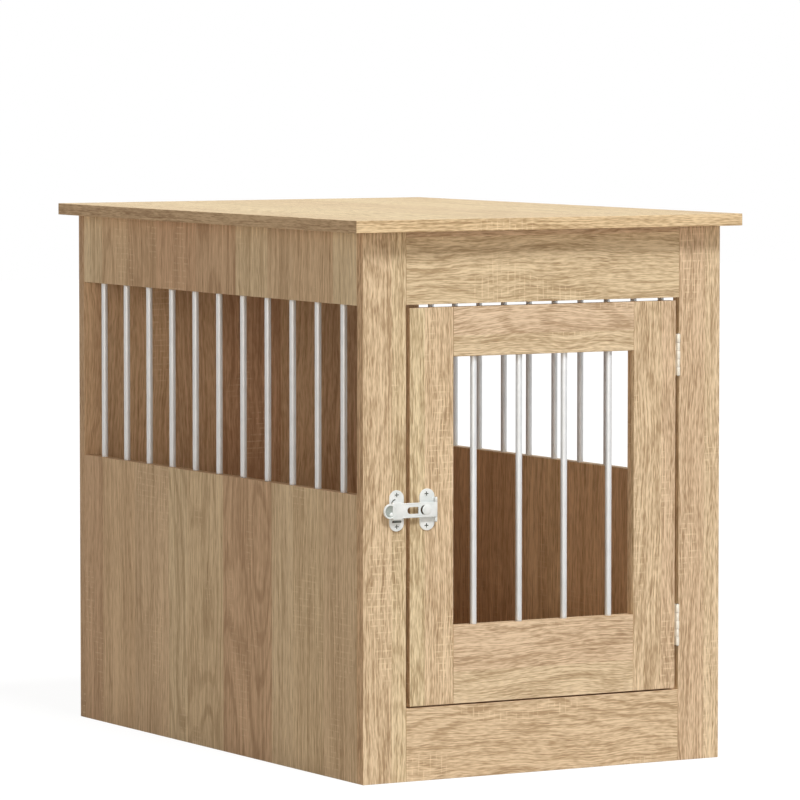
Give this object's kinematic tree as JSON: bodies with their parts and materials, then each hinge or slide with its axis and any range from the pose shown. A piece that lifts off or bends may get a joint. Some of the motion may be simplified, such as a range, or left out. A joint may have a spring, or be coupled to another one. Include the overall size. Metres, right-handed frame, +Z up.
{
  "type": "dog crate end table",
  "caption": "End table with a dog crate inside: oak-look boards, barred sides, closed back, and a barred front door on butt hinges with a flip latch.",
  "frame": {"origin": "on the floor, under the middle of the table top", "axes": "+Z up, the door faces -Y, +X is the right side seen from the front, where the door's hinges are"},
  "size_m": [0.55, 0.8, 0.68],
  "materials": {
    "oak_laminate": "matt oak-look laminate with fine pores, tonal bands and pale saw marks",
    "white_bar": "satin white powder coat",
    "white_fitting": "satin white coat on pressed metal",
    "zinc_steel": "bright zinc plate",
    "beech_dowel": "plain beech"
  },
  "bodies": {
    "crate": {"back_panel": "oak_laminate", "cam_bolts": "zinc_steel", "cam_discs": "zinc_steel", "floor_panel": "oak_laminate", "frame_dowels": "beech_dowel", "front_rail_bottom": "oak_laminate", "front_rail_top": "oak_laminate", "front_stile_left": "oak_laminate", "front_stile_right": "oak_laminate", "hinge_lower_frame_leaf": "white_fitting", "hinge_lower_pin": "zinc_steel", "hinge_screws_frame": "zinc_steel", "hinge_upper_frame_leaf": "white_fitting", "hinge_upper_pin": "zinc_steel", "latch_screws_stile": "white_fitting", "latch_stile_plate": "white_fitting", "left_bar_01": "white_bar", "left_bar_02": "white_bar", "left_bar_03": "white_bar", "left_bar_04": "white_bar", "left_bar_05": "white_bar", "left_bar_06": "white_bar", "left_bar_07": "white_bar", "left_bar_08": "white_bar", "left_bar_09": "white_bar", "left_bar_10": "white_bar", "left_bar_11": "white_bar", "right_bar_01": "white_bar", "right_bar_02": "white_bar", "right_bar_03": "white_bar", "right_bar_04": "white_bar", "right_bar_05": "white_bar", "right_bar_06": "white_bar", "right_bar_07": "white_bar", "right_bar_08": "white_bar", "right_bar_09": "white_bar", "right_bar_10": "white_bar", "right_bar_11": "white_bar", "side_panel_lower_left": "oak_laminate", "side_panel_lower_right": "oak_laminate", "side_panel_upper_left": "oak_laminate", "side_panel_upper_right": "oak_laminate", "table_top": "oak_laminate"},
    "door": {"door_bar_01": "white_bar", "door_bar_02": "white_bar", "door_bar_03": "white_bar", "door_bar_04": "white_bar", "door_dowels": "beech_dowel", "door_rail_bottom": "oak_laminate", "door_rail_top": "oak_laminate", "door_stile_left": "oak_laminate", "door_stile_right": "oak_laminate", "hinge_lower_door_leaf": "white_fitting", "hinge_upper_door_leaf": "white_fitting", "hinge_screws_door": "zinc_steel", "latch_door_plate": "white_fitting", "latch_screws_door": "white_fitting", "latch_pin": "zinc_steel"},
    "latch_arm": {"latch_arm": "white_fitting"}
  },
  "joints": [
    {"name": "door_swing", "type": "hinge", "parent": "crate", "child": "door", "pos_m": [0.1925, -0.382, 0.332], "axis": [0, 0, 1], "range_deg": [0, 170]},
    {"name": "latch_flip", "type": "hinge", "parent": "door", "child": "latch_arm", "pos_m": [-0.1555, -0.383, 0.3295], "axis": [0, 0, 1], "range_deg": [0, 160]}
  ]
}
